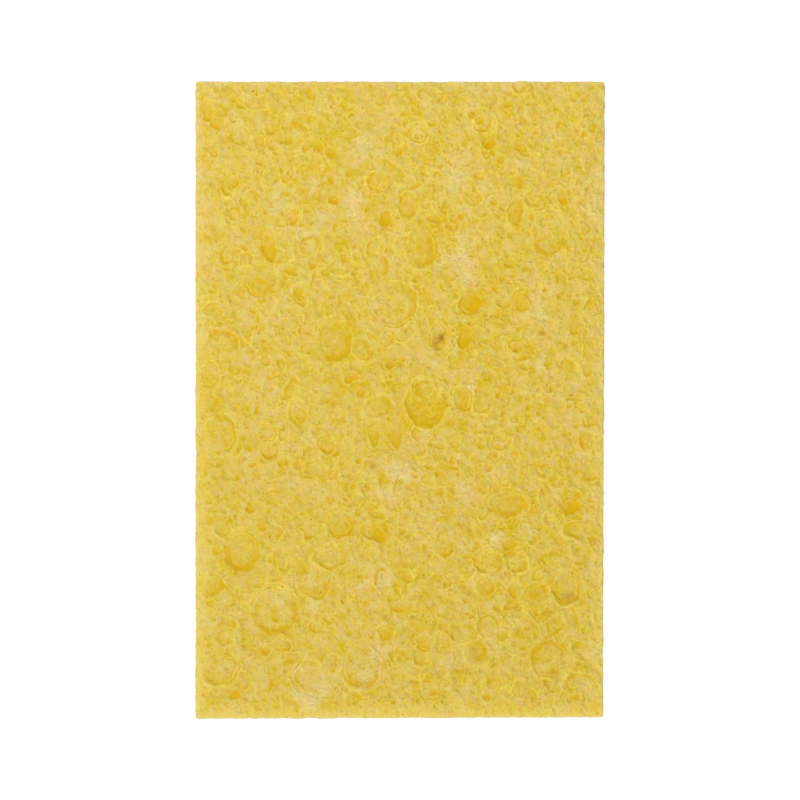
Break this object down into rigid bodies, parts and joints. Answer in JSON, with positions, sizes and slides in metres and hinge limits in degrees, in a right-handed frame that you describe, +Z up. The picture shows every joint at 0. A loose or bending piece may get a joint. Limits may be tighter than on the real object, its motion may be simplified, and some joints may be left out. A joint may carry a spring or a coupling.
{
  "type": "cellulose sponge",
  "caption": "Flat rectangular sheet of yellow cellulose sponge, pressed thin and dry, with collapsed open pores on both faces and slit pores in its cut sides.",
  "frame": {"origin": "under the middle of the sheet, on the surface that it lies on", "axes": "+Z up through the thickness, +Y along the length, +X across the width"},
  "size_m": [0.0706, 0.11, 0.004],
  "materials": {
    "cellulose": "matte, dry, fibrous, with smooth pore walls"
  },
  "bodies": {
    "root": {"sponge": "cellulose"}
  },
  "joints": []
}
